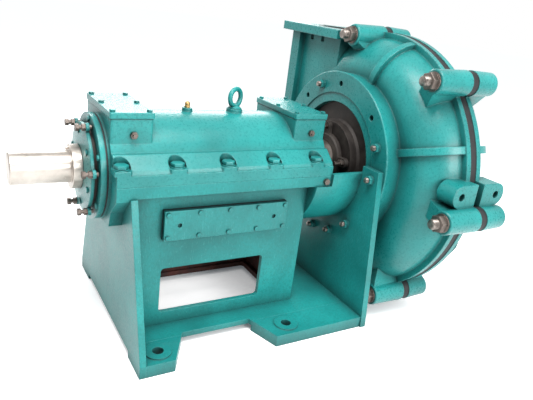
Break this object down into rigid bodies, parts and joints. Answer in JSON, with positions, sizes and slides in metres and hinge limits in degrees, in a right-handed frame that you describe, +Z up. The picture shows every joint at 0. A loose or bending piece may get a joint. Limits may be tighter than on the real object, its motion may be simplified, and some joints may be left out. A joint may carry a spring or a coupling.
{
  "type": "horizontal lined slurry pump",
  "caption": "Horizontal lined slurry pump: split oil-bath bearing housing on a welded pedestal, packed gland, lined two-part casing with top outlet and end suction.",
  "frame": {"origin": "on the ground plane, at the centre of the four foot bolt holes", "axes": "+X along the shaft from the drive end to the suction flange, +Y to the far side (left seen from the drive end), +Z up"},
  "size_m": [1.939, 1.4337, 1.2976],
  "materials": {
    "paint": "glossy brushed-on enamel over castings and welded plate",
    "turned_steel": "turned bare steel",
    "dark_steel": "oiled dark steel, light rust",
    "cast_iron": "bare dark cast iron",
    "hard_iron": "white iron as cast",
    "rubber": "matt black rubber",
    "packing": "braided packing",
    "bronze": "dull brass",
    "bearing_steel": "ground bearing steel"
  },
  "bodies": {
    "frame": {"foot_blocks": "paint", "base_plate": "paint", "drive_end_wall": "paint", "side_wall_near": "paint", "side_wall_far": "paint", "pump_end_bulkhead": "paint", "front_wall": "paint", "gland_trough": "paint", "access_cover_near": "paint", "access_cover_far": "paint", "cover_gaskets": "rubber", "access_screws": "paint", "housing_upper": "paint", "housing_lower": "paint", "split_line_bolts": "paint", "lid_drive_end": "paint", "lid_pump_end": "paint", "lid_bolts": "paint", "eye_bolt": "paint", "breather": "bronze", "oil_plugs": "dark_steel", "adjusting_ring": "paint", "adjusting_ring_bolts": "paint", "housing_gasket_ring": "rubber", "stuffing_box": "cast_iron", "gland_studs": "dark_steel", "lantern_ring": "bronze", "packing_rings": "packing", "casing_back": "paint", "casing_cover": "paint", "volute_liner_back": "rubber", "volute_liner_front": "rubber", "back_liner_plate": "hard_iron", "throatbush": "hard_iron", "suction_joint_ring": "rubber", "casing_bolts": "dark_steel", "wall_studs": "dark_steel", "liner_studs": "dark_steel"},
    "cartridge": {"bearing_cartridge": "cast_iron", "end_cover_drive": "paint", "end_cover_pump": "paint", "end_cover_bolts": "paint", "oil_seals": "rubber", "adjusting_screws": "dark_steel", "drive_bearing_outer_ring": "bearing_steel", "pump_bearing_outer_ring": "bearing_steel"},
    "rotor": {"shaft": "turned_steel", "labyrinth_collar": "turned_steel", "bearing_nuts": "turned_steel", "water_slinger": "rubber", "shaft_sleeve": "turned_steel", "impeller": "hard_iron", "drive_bearing_inner_ring": "bearing_steel", "pump_bearing_inner_ring": "bearing_steel"},
    "rollers": {"drive_bearing_rollers": "bearing_steel", "pump_bearing_rollers": "bearing_steel"},
    "gland": {"gland_half_outer": "cast_iron", "gland_half_inner": "cast_iron", "gland_nuts": "dark_steel"}
  },
  "joints": [
    {"name": "bearing_adjust", "type": "slide", "parent": "frame", "child": "cartridge", "axis": [1, 0, 0], "range_m": [-0.005, 0.003]},
    {"name": "rotor_spin", "type": "hinge", "parent": "cartridge", "child": "rotor", "pos_m": [0, 0, 0.674], "axis": [1, 0, 0], "continuous": true},
    {"name": "roller_orbit", "type": "hinge", "parent": "cartridge", "child": "rollers", "pos_m": [0, 0, 0.674], "axis": [1, 0, 0], "continuous": true},
    {"name": "gland_follow", "type": "slide", "parent": "frame", "child": "gland", "axis": [1, 0, 0], "range_m": [-0.02, 0.006]}
  ],
  "couplings": [
    {"joint": "roller_orbit", "follows": "rotor_spin", "ratio": 0.44}
  ]
}
